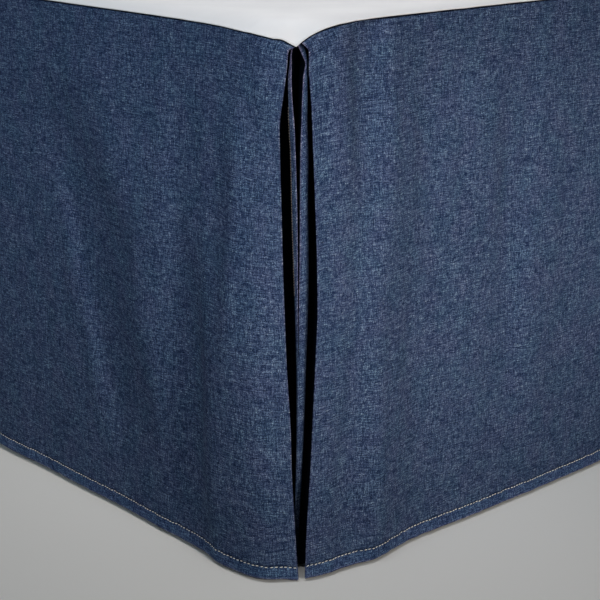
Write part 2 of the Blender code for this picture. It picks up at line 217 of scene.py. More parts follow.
OVERLOCK_FROM = 0.115  # the shares of the drop between which the overlocked thread shows
OVERLOCK_TO = 0.450
OVERLOCK_PITCH = 0.0011
OVERLOCK_LENGTH = 0.0022
OVERLOCK_THREAD = 0.00022
OVERLOCK_TILT = math.radians(28)
OVERLOCK_TILT_SPREAD = math.radians(4)
OVERLOCK_WANDER = 0.00008
# Fine ripples and puckers: about how high they are, how wide and how long their single waves are, and how
# far from the seam, the hem or the rim they fade in or die out
Ripples = namedtuple("Ripples", "size seed widths lengths reach")
HANG_RIPPLES = Ripples(0.00018, 3, (0.020, 0.055), (0.15, 0.60), 0.08)
SOFT_RIPPLES = Ripples(0.00005, 4, (0.010, 0.030), (0.012, 0.040), 0.02)
SEAM_PUCKERS = Ripples(0.00016, 5, (0.009, 0.024), (0.08, 0.30), 0.016)
HEM_PUCKERS = Ripples(0.00026, 6, (0.008, 0.021), (0.06, 0.20), 0.011)
DECK_SWELLS = Ripples(0.0006, 11, (0.12, 0.40), (0.15, 0.50), 0.05)
DECK_RIPPLES = Ripples(0.00012, 12, (0.015, 0.06), (0.02, 0.08), 0.004)
RIM_PUCKERS = Ripples(0.00018, 13, (0.010, 0.035), (0.10, 0.40), 0.007)
RIM_PUCKER_LINE = 0.006  # how far inside the rim its puckers are highest
RIPPLE_WAVES = 28

# Where the drops are worn pale, paler with a painted highlight, tinted as a hem, and dark with painted shade
EDGE_WEAR = 0.15
EDGE_TOP_HIGHLIGHT = 0.45  # how much paler the split edges are at their tops, with a painted highlight
EDGE_TOP_SHARE = 0.035
EDGE_WEAR_WIDTH = 0.0008
HEM_WEAR = 0.4
HEM_WEAR_HEIGHT = 0.0010
HEM_TINT_TOP = HEM_BAND - 0.0015
HEM_TINT_EASE = 0.002
SEAM_SHADE = 0.0014  # how far down the drops are dark with the painted shade of their seam
STITCH_SHADE = 0.65  # how dark the painted shade is just above the stitches
STITCH_SHADE_LINE = STITCH_LINE + 0.0008
STITCH_SHADE_HEIGHT = 0.0009
# The same of the inserts, where the pale marks are painted highlights. PARTS go from 0 to 1 across a ridge,
# away from the foot's middle.
RIDGE_HIGHLIGHT = 0.6
RIDGE_TOP_HIGHLIGHT = 0.7  # how much brighter the painted highlight on the ridges' inner edges is near their tops
RIDGE_TOP_SHARE = 0.10
RIDGE_HIGHLIGHT_WIDTH = 0.0006
RIDGES_MEET_SHARES = (0.46, 0.56)  # where that painted highlight ends
# Painted highlight over the top of the ridge by the foot drop
FOOT_TOP_HIGHLIGHT = 1.1
FOOT_TOP_SHARE = 0.07
# Painted shade on the ridges, in the folds and near the hem
FOOT_RIDGE_SHADE = 0.45
FOOT_SHADED_PARTS = (0.5, 0.9)  # over which its shade fades out
SIDE_RIDGE_SHADE = 0.95
SIDE_RIDGE_LIGHTER = 0.22  # how much less it is shaded further down
SIDE_LIGHTER_SHARES = (0.79, 0.84)
SIDE_SHADED_PARTS = (0.5, 1.0)  # over which its shade comes in
SIDE_SHADED_SHARES = (0.07, 0.16)
SIDE_TWIST = 0.5  # how many parts further in the shade begins at the top, where the ridge turns
SIDE_TWIST_SHARE = 0.035
FOLDED_DEPTHS = (0.0002, 0.0010)  # past a ridge's crest, over which the cloth gets dark with painted shade
LOW_SHADE = 0.94
LOW_SHARES = (0.86, 0.95)

# Rows and columns of the drops: (reach, step) pairs, each step kept up to its reach
DROP_COLUMN_STEPS = ((0.0024, 0.0006), (0.120, 0.0025), (0.450, 0.0034), (3.0, 0.0125))
DROP_ROW_STEPS = ((0.0050, 0.0005), (0.030, 0.0025), (0.425, 0.0050), (0.436, 0.0022), (0.60, 0.0010))
DROP_HEIGHT = 0.4535  # of the drops, near enough to turn shares into metres
DECK_LINE_STEPS = ((0.0012, 0.0004), (0.010, 0.0016), (1.0, 0.0035))
DECK_ROWS = 110  # inside its rim
DECK_COLUMNS = 84

# The photo's view
CAMERA_PLACE = (1.621, -1.772, 0.595)
CAMERA_HEADING = math.radians(48.03)
CAMERA_PITCH = math.radians(16.77)
CAMERA_FOCAL_PIXELS = 1563.0  # at the photo's width
PHOTO_WIDTH_PIXELS = 600.0
SENSOR_WIDTH = 36.0


# Small sums


def smooth(x):
    """Eases from 0 to 1 as x goes from 0 to 1."""
    x = np.clip(x, 0.0, 1.0)
    return x * x * (3 - 2 * x)


def between(x, limits):
    """Eases from 0 to 1 as x goes from the first limit to the second."""
    return smooth((x - limits[0]) / (limits[1] - limits[0]))


def mix(low, high, weight):
    return low + (high - low) * weight


def bell(x, width):
    return np.exp(-((x / width) ** 2))


def vectors(x, y, z):
    """One grid of vectors from grids of their parts, any of which may be a number."""
    return np.stack(np.broadcast_arrays(x, y, z), axis=-1)


def curve_through(places, values, at):
    """Values at some places along a smooth curve through given ones."""
    slopes = np.gradient(values, places)
    row = np.clip(np.searchsorted(places, at, side="right") - 1, 0, len(places) - 2)
    gap = places[row + 1] - places[row]
    t = (at - places[row]) / gap
    start = (2 * t**3 - 3 * t**2 + 1) * values[row] + (t**3 - 2 * t**2 + t) * gap * slopes[row]
    return start + (3 * t**2 - 2 * t**3) * values[row + 1] + (t**3 - t**2) * gap * slopes[row + 1]


def graded(total, steps):
    """Places from 0 to total whose spacing follows (reach, step) pairs."""
    places = [0.0]
    for reach, step in steps:
        end = min(reach, total)
        count = max(round((end - places[-1]) / step), 0)
        start = places[-1]
        places += [mix(start, end, (i + 1) / count) for i in range(count)]
        if end >= total:
            break
    places[-1] = total
    return np.array(places)


def rippled(across, down, ripples):
    """The height of a field of soft ripples, from many plane waves."""
    rng = np.random.default_rng(ripples.seed)
    total = 0.0
    for _ in range(RIPPLE_WAVES):
        width = rng.uniform(*ripples.widths)
        length = rng.uniform(*ripples.lengths) * rng.choice((-1.0, 1.0))
        phase = rng.uniform(0.0, 2 * math.pi)
        total = total + np.sin(2 * math.pi * (across / width + down / length) + phase)
    return ripples.size * (total * math.sqrt(2 / RIPPLE_WAVES))


# The rim in plan, and the heights along it


def rim(along, outward=0.0):
    """The plan position at a distance round the rim, moved outward from it."""
    distance = np.abs(along)
    turned = np.clip(distance - RIM_HALF_FOOT, 0.0, RIM_ARC) / RIM_CORNER
    radius = RIM_CORNER + outward
    x = np.minimum(distance, RIM_HALF_FOOT) + radius * np.sin(turned)
    past_corner = np.maximum(distance - SIDE_START, 0.0)
    y = -BED_LENGTH / 2 + RIM_CORNER - radius * np.cos(turned) + past_corner
    return np.copysign(x, along), y


def seam_height(along):
    """Height of the seam. Each foot corner of the deck sags at its split."""
    past_split = np.abs(along) - SPLIT_ALONG
    foot = FOOT_SEAM - (FOOT_SEAM - SPLIT_SEAM) * np.exp(np.minimum(past_split, 0.0) / FOOT_SAG_REACH)
    foot = foot + SEAM_SHOULDER * bell(past_split - SHOULDER_PLACE, SHOULDER_WIDTH)
    side = SIDE_SEAM - (SIDE_SEAM - SPLIT_SEAM) * np.exp(-np.maximum(past_split, 0.0) / SIDE_SAG_REACH)
    return np.where(past_split < 0, foot, side)


def deck_height(along, inset):
    """Height of the deck's middle surface: level on the box spring, and sloped over its edge to the seam."""
    level = DECK_TOP - DECK_CLOTH / 2
    seam = seam_height(along) + DECK_CLOTH / 2
    off_level = 1 - np.clip(inset / TURN_DOWN, 0.0, 1.0)
    return level - (level - seam) * off_level**2


# How the cloth hangs


def fold_rise(fold, share):
    """A fold grows from nothing at the seam, through its rise at half the drop, to its rise at the hem."""
    slope = 4 * fold.mid_rise - fold.hem_rise
    return share * (slope + share * (2 * fold.hem_rise - 4 * fold.mid_rise))


def corner_scales(along):
    """How much longer and how much higher the folds are than at the right corner."""
    return np.where(along < 0, LEFT_FOLD_STRETCH, 1.0), np.where(along < 0, LEFT_FOLD_RISE, 1.0)


def swell(along, share):
    """How far the drops stand out from the rim's line, from their folds and flutes."""
    past_split = np.abs(along) - SPLIT_ALONG
    stretch, scale = corner_scales(along)
    total = 0.0
    for fold in FOLDS:
        line = stretch * mix(fold.top, fold.hem, share)
        total = total + scale * fold_rise(fold, share) * bell(past_split - line, stretch * fold.width)
    fade_in = between(np.abs(past_split), (FLUTES_FROM, FLUTES_FULL))
    for flute in FLUTES:
        wave = np.sin(2 * math.pi * along / flute.wavelength + flute.phase)
        total = total + fade_in * share * flute.rise * wave
    return total


def crease_rise(crease, past_split, share):
    """How far a crease moves the cloth outward. It fades in and out at its path's ends."""
    places, shares = np.array(crease.path).T
    line = curve_through(shares, places, np.clip(share, shares[0], shares[-1]))
    fade = (shares[-1] - shares[0]) / 3
    weight = smooth((share - shares[0]) / fade) * smooth((shares[-1] - share) / fade)
    away = past_split - line
    return weight * crease.step / 2 * (np.tanh(away / crease.width) - np.tanh(away / crease.reach))


def creased(along, share):
    """How far the creases, the rolls and the hem's flare move the cloth outward."""
    stretch, scale = corner_scales(along)
    past_split = (np.abs(along) - SPLIT_ALONG) / stretch
    total = 0.0
    for crease in CREASES:
        total = total + scale * crease_rise(crease, past_split, share)
    for roll in ROLLS:
        level = bell(share - roll.share, roll.half_height) * smooth(share / ROLLS_FROM)
        total = total + scale * roll.rise * bell(past_split - roll.past, roll.half_length) * level
    up = (1 - share) * DROP_HEIGHT
    return total + HEM_FLARE * np.maximum(1 - up / HEM_FLARE_REACH, 0.0) ** 2


def hang(along, share):
    """How far the cloth stands out from the rim's line, in all. It stays clear of the box spring."""
    free = swell(along, share) + creased(along, share)
    return LIMIT_EASE * np.logaddexp(free / LIMIT_EASE, -INWARD_LIMIT / LIMIT_EASE)


def split_size(name, share):
    """A column of SECTIONS at a share of the drop, along a smooth curve through its rows."""
    shares = np.array([row.share for row in SECTIONS])
    sizes = np.array([getattr(row, name) for row in SECTIONS])
    return curve_through(shares, sizes, share)


def section_at(share):
    return Section(share, *(split_size(name, share) for name in Section._fields[1:]))


def fine_relief(along, share):
    """Small forms on the drops: ripples, puckers by the seam and the hem, and the stitching's groove."""
    down = share * DROP_HEIGHT
    up = DROP_HEIGHT - down
    long = rippled(along, down, HANG_RIPPLES) * smooth(down / HANG_RIPPLES.reach)
    soft = rippled(along, down, SOFT_RIPPLES) * smooth(down / SOFT_RIPPLES.reach)
    seam = rippled(along, down, SEAM_PUCKERS) * bell(down, SEAM_PUCKERS.reach)
    hem = rippled(along, down, HEM_PUCKERS) * bell(up - STITCH_LINE, HEM_PUCKERS.reach)
    groove = -STITCH_GROOVE * bell(up - STITCH_LINE, STITCH_GROOVE_WIDTH)
    tuck = -SEAM_TUCK * (1 - np.clip(down / SEAM_TUCK_REACH, 0.0, 1.0)) ** 2
    return long + soft + seam + hem + groove + tuck


def top_edge(past_split):
    """Where the drop on that side of the split has its edge at the seam."""
    return np.where(past_split > 0, SECTIONS[0].side_edge, SECTIONS[0].foot_edge)


def hem_height(past_split):
    """Height of the drops' hem. It dips at the split and climbs a little toward the foot's middle."""
    lift = HEM_LIFT * (1 - bell(past_split, HEM_LIFT_GAP))
    return HEM + lift + HEM_CLIMB * np.maximum(-past_split - HEM_CLIMB_FROM, 0.0)


def drop_surface(along, share, outward):
    """Points of a drop, moved outward from its middle surface. Its edges are drawn back from the split."""
    past_split = np.abs(along) - SPLIT_ALONG
    on_side = past_split > 0
    edge = np.where(on_side, split_size("side_edge", share), split_size("foot_edge", share))
    start = top_edge(past_split)
    pull = (edge - start) * np.exp(-np.abs(past_split - start) / PULL_REACH)
    moved = np.copysign(np.abs(along) + pull, along)
    z = mix(seam_height(moved) - JOIN_GAP, hem_height(np.abs(moved) - SPLIT_ALONG), share)
    x, y = rim(moved, hang(moved, share) + outward)
    return vectors(x, y, z)


# The insert behind a split

# A turn of its section: its distance from the split, its depth, and the columns up to the next turn
Turn = namedtuple("Turn", "place depth columns")


def insert_turns(share):
    """The insert runs level, down a flank, over two steep ridges, up the other flank and level again."""
    at = section_at(share)
    wall = np.minimum(RIDGE_WALL, (at.side_inner - at.foot_inner) / 3)
    crown = at.crest - RIDGE_CROWN
    return (
        Turn(-INSERT_HALF, INSERT_STANDOFF, 6),
        Turn(-INSERT_LEVEL_FROM, INSERT_STANDOFF, 22),
        Turn(at.foot_outer - RIDGE_WALL, at.flank, 8),
        Turn(at.foot_outer, at.crest, 4),
        Turn((at.foot_outer + at.foot_inner) / 2, crown, 4),
        Turn(at.foot_inner, at.crest, 6),
        Turn(at.foot_inner + wall, at.groove, 3),
        Turn(at.side_inner - wall, at.groove, 6),
        Turn(at.side_inner, at.crest, 4),
        Turn((at.side_inner + at.side_outer) / 2, crown, 4),
        Turn(at.side_outer, at.crest, 8),
        Turn(at.side_outer + RIDGE_WALL, at.flank, 22),
        Turn(INSERT_LEVEL_FROM, INSERT_STANDOFF, 6),
        Turn(INSERT_HALF, INSERT_STANDOFF, 1),
    )


def insert_columns(share):
    """Distances from the split and depths of the insert's columns, for a column of shares."""
    turns = insert_turns(share)
    places, depths = [], []
    for start, end in zip(turns, turns[1:]):
        for weight in np.arange(start.columns) / start.columns:
            places.append(mix(start.place, end.place, weight) + 0.0 * share)
            depths.append(mix(start.depth, end.depth, smooth(weight)) + 0.0 * share)
    places.append(turns[-1].place + 0.0 * share)
    depths.append(turns[-1].depth + 0.0 * share)
    return np.concatenate(places, axis=1), np.concatenate(depths, axis=1)


def insert_surface(hand, past_split, depth, share, outward):
    """Points of an insert. Its top edge meets the deck's underside just inside the seam."""
    along = hand * (SPLIT_ALONG + past_split)
    top = deck_height(along, INSERT_STANDOFF - DECK_CLOTH) - DECK_CLOTH / 2 - JOIN_GAP
    x, y = rim(along, hang(along, share) - depth + outward)
    return vectors(x, y, mix(top, HEM + HEM_LIFT, share))


# Meshes


def border(rows, columns):
    """The border cells of a grid in order: along the top, down the right, back along the bottom and up."""
    top = [(0, c) for c in range(columns - 1)]
    right = [(r, columns - 1) for r in range(rows - 1)]
    bottom = [(rows - 1, c) for c in range(columns - 1, 0, -1)]
    left = [(r, 0) for r in range(rows - 1, 0, -1)]
    return np.array(top + right + bottom + left)


def mesh_object(name, points, faces, material):
    mesh = bpy.data.meshes.new(name)
    mesh.from_pydata(points, [], faces)
    mesh.shade_smooth()
    mesh.materials.append(material)
    obj = bpy.data.objects.new(name, mesh)
    bpy.context.scene.collection.objects.link(obj)
    return obj


def tube_faces(first, levels, count):
    """The faces between rings of points that are stacked on each other, from the first point on."""
    faces = []
    for low in range(first, first + (levels - 1) * count, count):
        for i in range(count):
            j = (i + 1) % count
            faces.append((low + i, low + j, low + count + j, low + count + i))
    return faces


def shell(name, outer, inner, material, place, wear_and_painted_light):
    """A closed sheet of cloth between two grids of points, with a rounded edge all round.

    Both its sides carry the grids of vectors that the cloth's colours read: its weave's place, and its wear
    with its painted highlights and shade.
    """
    rows, columns = outer.shape[:2]
    edge = border(rows, columns)
    r, c = edge.T
    inside = outer[np.clip(r, 1, rows - 2), np.clip(c, 1, columns - 2)]
    away = outer[r, c] - inside
    away /= np.linalg.norm(away, axis=1, keepdims=True)
    thickness = np.linalg.norm(outer[r, c] - inner[r, c], axis=1, keepdims=True)
    rounded = (outer[r, c] + inner[r, c]) / 2 + EDGE_ROUNDING * thickness * away
    points = np.concatenate([outer.reshape(-1, 3), inner.reshape(-1, 3), rounded])

    at = np.arange(rows * columns).reshape(rows, columns)
    cells = np.stack([at[:-1, :-1], at[1:, :-1], at[1:, 1:], at[:-1, 1:]], axis=-1).reshape(-1, 4)
    count = rows * columns
    ring = at[r, c]
    following = np.roll(ring, -1)
    middle = 2 * count + np.arange(len(edge))
    middle_following = np.roll(middle, -1)
    faces = np.concatenate([
        cells,
        cells[:, ::-1] + count,
        np.stack([ring, following, middle_following, middle], axis=-1),
        np.stack([middle, middle_following, following + count, ring + count], axis=-1),
    ])
    obj = mesh_object(name, points.tolist(), faces.tolist(), material)
    for attribute, grid in (("cloth_place", place), ("cloth_wear_and_painted_light", wear_and_painted_light)):
        values = np.concatenate([grid.reshape(-1, 3), grid.reshape(-1, 3), grid[r, c]])
        data = obj.data.attributes.new(attribute, "FLOAT_VECTOR", "POINT").data
        data.foreach_set("vector", values.astype(np.float32).ravel())
    return obj


def drop_wear_and_painted_light(along, share):
    """Wear along the edges, a painted highlight at the split edges' tops, the hem's tint, and painted shade
    under the seam and over the stitches.
    """
    past_split = np.abs(along) - SPLIT_ALONG
    from_edge = past_split - top_edge(past_split)
    down = share * DROP_HEIGHT
    up = DROP_HEIGHT - down
    # The split edges are worn pale, and a painted highlight makes them paler at their tops
    edge = bell(from_edge, EDGE_WEAR_WIDTH) * (EDGE_WEAR + EDGE_TOP_HIGHLIGHT * bell(share, EDGE_TOP_SHARE))
    wear_and_painted_highlight = np.maximum(edge, HEM_WEAR * bell(up, HEM_WEAR_HEIGHT))
    hem = 1 - smooth((up - HEM_TINT_TOP) / HEM_TINT_EASE)
    # Painted shade under the seam, and a painted shadow just above the stitches
    seam = 1 - between(down, (SEAM_SHADE / 2, SEAM_SHADE))
    stitches = STITCH_SHADE * bell(up - STITCH_SHADE_LINE, STITCH_SHADE_HEIGHT)
    return vectors(wear_and_painted_highlight, hem, np.maximum(seam, stitches))


def drop(name, stations, material):
    """One panel, as a shell whose hem is doubled on the inside."""
    shares = graded(DROP_HEIGHT, DROP_ROW_STEPS)[:, None] / DROP_HEIGHT
    along = stations[None, :] + 0.0 * shares
    share = shares + 0.0 * along
    relief = fine_relief(along, share)
    up = (1 - share) * DROP_HEIGHT
    doubled = HEM_EXTRA * (1 - smooth((up - HEM_BAND) / HEM_EXTRA_EASE))
    outer = drop_surface(along, share, CLOTH / 2 + relief)
    inner = drop_surface(along, share, -CLOTH / 2 + relief - doubled)
    place = vectors(along, share * DROP_HEIGHT, 0.0)
    return shell(name, outer, inner, material, place, drop_wear_and_painted_light(along, share))


def foot_stations():
    half = SPLIT_ALONG + SECTIONS[0].foot_edge
    right = half - graded(half, DROP_COLUMN_STEPS)[::-1]
    return np.concatenate([-right[:0:-1], right])


def side_stations(hand):
    start = SPLIT_ALONG + SECTIONS[0].side_edge
    places = start + graded(SIDE_END - start, DROP_COLUMN_STEPS)
    return places if hand > 0 else -places[::-1]


def insert_painted_light(past_split, depth, share):
    """Painted highlights on the ridges' inner edges, and painted shade in the folds, toward the outer edges
    and near the hem.
    """
    at = section_at(share)
    foot_part = (past_split - at.foot_outer) / (at.foot_inner - at.foot_outer)
    side_part = (past_split - at.side_inner) / (at.side_outer - at.side_inner)
    on_foot = past_split < (at.foot_inner + at.side_inner) / 2

    # Painted shade: a shadow on the side ridge, shade on the foot ridge, in the folds and near the hem
    turned = bell(share, SIDE_TWIST_SHARE)
    side_shade = between(side_part + SIDE_TWIST * turned, SIDE_SHADED_PARTS)
    side_shade = side_shade * np.maximum(between(share, SIDE_SHADED_SHARES), turned)
    side_shade = side_shade * (SIDE_RIDGE_SHADE - SIDE_RIDGE_LIGHTER * between(share, SIDE_LIGHTER_SHARES))
    foot_shade = FOOT_RIDGE_SHADE * (1 - between(foot_part, FOOT_SHADED_PARTS))
    folded = between(depth - at.crest, FOLDED_DEPTHS)
    low = LOW_SHADE * between(share, LOW_SHARES)
    painted_shade = np.maximum(np.maximum(np.where(on_foot, foot_shade, side_shade), folded), low)

    # Painted highlights along the ridges' inner edges and over the top of the ridge by the foot drop
    from_inner = np.minimum(np.abs(past_split - at.foot_inner), np.abs(past_split - at.side_inner))
    edge = (RIDGE_HIGHLIGHT + RIDGE_TOP_HIGHLIGHT * bell(share, RIDGE_TOP_SHARE)) * bell(from_inner, RIDGE_HIGHLIGHT_WIDTH)
    edge = edge * (1 - between(share, RIDGES_MEET_SHARES))
    top = np.where(on_foot, FOOT_TOP_HIGHLIGHT, 0.0) * bell(share, FOOT_TOP_SHARE)
    wear_and_painted_highlight = np.maximum(edge, top) * (1 - folded) * (1 - low)
    return vectors(wear_and_painted_highlight, 0.0, painted_shade)


def insert(name, hand, material):
    """A pleat insert. Its cloth has painted shade in the folds and painted highlights on the ridges."""
    share = graded(DROP_HEIGHT, DROP_ROW_STEPS)[:, None] / DROP_HEIGHT
    past_split, depth = insert_columns(share)
    share = share + 0.0 * past_split
    if hand < 0:
        past_split, depth = past_split[:, ::-1], depth[:, ::-1]
    outer = insert_surface(hand, past_split, depth, share, CLOTH / 2)
    inner = insert_surface(hand, past_split, depth, share, -CLOTH / 2)
    steps = np.linalg.norm(np.diff(outer, axis=1), axis=2)
    across = np.concatenate([np.zeros((len(steps), 1)), np.cumsum(steps, axis=1)], axis=1)
    place = vectors(across, share * DROP_HEIGHT, 0.0)
    return shell(name, outer, inner, material, place, insert_painted_light(past_split, depth, share))


# Materials

# The noise values between which one tint goes over into the other, slowly or fast
SLOW_CHANGE = (0.3, 0.7)
FAST_CHANGE = (0.35, 0.65)


class Surface:
    """A Principled material and short calls that add nodes to it. Each call gives back a socket."""

    def __init__(self, name, roughness, sheen=0.0, specular=0.25):
        self.material = bpy.data.materials.new(name)
        self.material.use_nodes = True
        self.tree = self.material.node_tree
        self.shader = self.tree.nodes["Principled BSDF"]
        self.shader.inputs["Roughness"].default_value = roughness
        self.shader.inputs["Sheen Weight"].default_value = sheen
        self.shader.inputs["Specular IOR Level"].default_value = specular

    def feed(self, socket, value):
        if isinstance(value, bpy.types.NodeSocket):
            self.tree.links.new(value, socket)
        else:
            socket.default_value = value

    def add(self, kind, *values, **settings):
        """Adds a node, sets it up, and feeds its sockets in their order."""
        node = self.tree.nodes.new("ShaderNode" + kind)
        for setting, value in settings.items():
            setattr(node, setting, value)
        for socket, value in zip(node.inputs, values):
            self.feed(socket, value)
        return node

    def attribute(self, name):
        return self.add("Attribute", attribute_name=name).outputs["Vector"]

    def object_place(self):
        return self.add("TexCoord").outputs["Object"]

    def split(self, vector):
        return self.add("SeparateXYZ", vector).outputs[:3]

    def join(self, x, y, z=0.0):
        return self.add("CombineXYZ", x, y, z).outputs[0]

    def math(self, operation, *values):
        return self.add("Math", *values, operation=operation).outputs[0]

    def scaled(self, vector, scale):
        return self.add("VectorMath", vector, scale, operation="MULTIPLY").outputs[0]

    def noise(self, vector, scale, detail=2.0, roughness=0.5):
        """Noise from 0 to 1, whose cells have unit size once the vector is scaled."""
        node = self.add("TexNoise", self.scaled(vector, scale))
        node.inputs["Scale"].default_value = 1.0
        node.inputs["Detail"].default_value = detail
        node.inputs["Roughness"].default_value = roughness
        return node.outputs["Fac"]

    def speckle(self, vector):
        """An even random value from 0 to 1 for each vector."""
        return self.add("TexWhiteNoise", vector).outputs["Value"]

    def ramp(self, value, low, high, to_low=0.0, to_high=1.0):
        return self.add("MapRange", value, low, high, to_low, to_high).outputs[0]

    def blend(self, weight, colour_a, colour_b, blend_type="MIX"):
        node = self.add("Mix", weight, data_type="RGBA", blend_type=blend_type)
        for socket, colour in ((node.inputs[6], colour_a), (node.inputs[7], colour_b)):
            self.feed(socket, colour if isinstance(colour, bpy.types.NodeSocket) else (*colour, 1.0))
        return node.outputs[2]

    def bump(self, height, distance):
        node = self.add("Bump")
        node.inputs["Distance"].default_value = distance
        self.feed(node.inputs["Height"], height)
        self.feed(self.shader.inputs["Normal"], node.outputs[0])

    def colour(self, colour):
        self.feed(self.shader.inputs["Base Color"], colour)


YARN = 0.00046  # from one yarn of the chambray to the next
YARN_BUMP = 0.00005
CHAMBRAY_BLUE = (0.0270, 0.0445, 0.0958)
# The colour of worn places and of painted highlights
WEAR_AND_PAINTED_HIGHLIGHT_PALE = (0.132, 0.124, 0.232)
WEAR_AND_PAINTED_HIGHLIGHT_WEIGHT = 0.7
HEM_TINT = (1.00, 1.10, 1.17)
# The colour of painted shade, in folds, grooves and under edges
PAINTED_SHADE_DARK = (0.002, 0.003, 0.007)
PATCHES_PER_METRE = (45.0, 30.0, 1.0)
PATCH_COOL = (0.93, 1.01, 1.00)
PATCH_WARM = (1.07, 0.98, 1.02)
SLUBS_PER_METRE = (0.27 / YARN, 0.6 / YARN, 1.0)
SLUB_PALE = (0.155, 0.175, 0.225)
SLUB_NOISE = (0.80, 0.86)  # the values between which a slub comes up
SLUB_WEIGHT = 0.6
# How many times more red, green and blue a yarn has that is paler by one whole step
YARN_CONTRAST = (5.3, 4.45, 3.0)
# Steps from the darkest to the palest crossing, stretch of one yarn, and long streak of the weft or warp
CELL_SHARE = 1.12
RUN_SHARE = 0.80
RUN_YARNS = 8.0  # length of such a stretch, in yarns
WEFT_SEED = 3.0
WARP_SEED = 5.0
WEFT_STREAK_SHARE = 1.35
WARP_STREAK_SHARE = 0.80
STREAK_WIDTH = 0.0008
STREAK_LENGTH = 0.028
OVER_SHARE = 0.15  # how much paler the warp is than the weft


def weave_cells(surface, place, pitch):
    """Places in a plain weave, its cells' column and row numbers, and 1 where the warp lies on top."""
    u, v, _ = surface.split(surface.scaled(place, (1 / pitch, 1 / pitch, 1.0)))
    column = surface.math("FLOOR", u)
    row = surface.math("FLOOR", v)
    over = surface.math("FLOORED_MODULO", surface.math("ADD", column, row), 2.0)
    return u, v, column, row, over


def yarn_height(surface, u, v):
    """The weave's relief: each cell is a short arch of the yarn that lies on top."""
    arch_u = surface.math("SINE", surface.math("MULTIPLY", surface.math("FRACT", u), math.pi))
    arch_v = surface.math("SINE", surface.math("MULTIPLY", surface.math("FRACT", v), math.pi))
    return surface.math("ADD", arch_u, arch_v)


def stretch_of_yarn(surface, length_place, yarn, seed):
    """A random value for each stretch of each yarn. No two yarns change at the same place."""
    offset = surface.speckle(surface.join(yarn, seed))
    stretch = surface.math("FLOOR", surface.math("MULTIPLY_ADD", length_place, 1 / RUN_YARNS, offset))
    return surface.speckle(surface.join(stretch, yarn, seed))


def unevenness(surface, place, u, v, column, row, over):
    """How much paler the cloth is from place to place than on the whole, in steps."""
    total = surface.math("MULTIPLY", over, OVER_SHARE)
    parts = (
        (surface.speckle(surface.join(column, row)), CELL_SHARE),
        (stretch_of_yarn(surface, u, row, WEFT_SEED), RUN_SHARE),
        (stretch_of_yarn(surface, v, column, WARP_SEED), RUN_SHARE),
        (surface.noise(place, (1 / STREAK_LENGTH, 1 / STREAK_WIDTH, 1.0)), WEFT_STREAK_SHARE),
        (surface.noise(place, (1 / STREAK_WIDTH, 1 / STREAK_LENGTH, 1.0)), WARP_STREAK_SHARE),
    )
    for value, share in parts:
        total = surface.math("MULTIPLY_ADD", surface.math("SUBTRACT", value, 0.5), share, total)
    return total


def chambray_material():
    """Indigo and paler yarns in a plain weave, with streaks, slubs and faint patches of colour, paler where
    worn and where a highlight is painted, and dark with painted shade.
    """
    surface = Surface("indigo_chambray", roughness=0.95, sheen=0.0, specular=0.02)
    place = surface.attribute("cloth_place")
    wear_and_painted_highlight, hem, painted_shade = surface.split(surface.attribute("cloth_wear_and_painted_light"))
    u, v, column, row, over = weave_cells(surface, place, YARN)

    patch = surface.noise(place, PATCHES_PER_METRE, detail=3.0)
    tint = surface.blend(surface.ramp(patch, *FAST_CHANGE), PATCH_COOL, PATCH_WARM)
    cloth = surface.blend(1.0, tint, CHAMBRAY_BLUE, "MULTIPLY")
    cloth = surface.blend(hem, cloth, surface.blend(1.0, cloth, HEM_TINT, "MULTIPLY"))
    # Worn places and painted highlights make the cloth paler
    cloth = surface.blend(surface.math("MULTIPLY", wear_and_painted_highlight, WEAR_AND_PAINTED_HIGHLIGHT_WEIGHT), cloth, WEAR_AND_PAINTED_HIGHLIGHT_PALE)

    uneven = unevenness(surface, place, u, v, column, row, over)
    paler = surface.join(*(surface.math("POWER", contrast, uneven) for contrast in YARN_CONTRAST))
    cloth = surface.blend(1.0, cloth, paler, "MULTIPLY")

    slub = surface.noise(place, SLUBS_PER_METRE, detail=0.0)
    cloth = surface.blend(surface.ramp(slub, *SLUB_NOISE, 0.0, SLUB_WEIGHT), cloth, SLUB_PALE)
    # Painted shade darkens the cloth where shade falls
    surface.colour(surface.blend(painted_shade, cloth, PAINTED_SHADE_DARK))
    surface.bump(yarn_height(surface, u, v), YARN_BUMP)
    return surface.material


COTTON_YARN = 0.0004
COTTON_BUMP = 0.00003
COTTON_GREYER = (0.700, 0.675, 0.690)
COTTON_WHITER = (0.740, 0.715, 0.725)
COTTON_PATCHES_PER_METRE = (30.0, 30.0, 1.0)
COTTON_SPECK = (0.55, 0.55, 0.58)
COTTON_SPECK_WEIGHT = 0.08
# The colour of the painted shade toward the deck's rim
RIM_PAINTED_SHADE = (0.600, 0.585, 0.600)


def cotton_material():
    """White plain-woven cotton with a faint cool cast, a little greyer toward its rim with painted shade."""
    surface = Surface("white_cotton", roughness=0.85, sheen=0.05, specular=0.2)
    place = surface.attribute("cloth_place")
    rim_shade, _, _ = surface.split(surface.attribute("cloth_wear_and_painted_light"))
    u, v, column, row, _ = weave_cells(surface, place, COTTON_YARN)
    speck = surface.math("MULTIPLY", surface.speckle(surface.join(column, row)), COTTON_SPECK_WEIGHT)
    patch = surface.noise(place, COTTON_PATCHES_PER_METRE, detail=3.0)
    white = surface.blend(surface.ramp(patch, *SLOW_CHANGE), COTTON_GREYER, COTTON_WHITER)
    # Painted shade makes the cotton greyer toward its rim
    white = surface.blend(rim_shade, white, RIM_PAINTED_SHADE)
    surface.colour(surface.blend(speck, white, COTTON_SPECK))
    surface.bump(yarn_height(surface, u, v), COTTON_BUMP)
    return surface.material


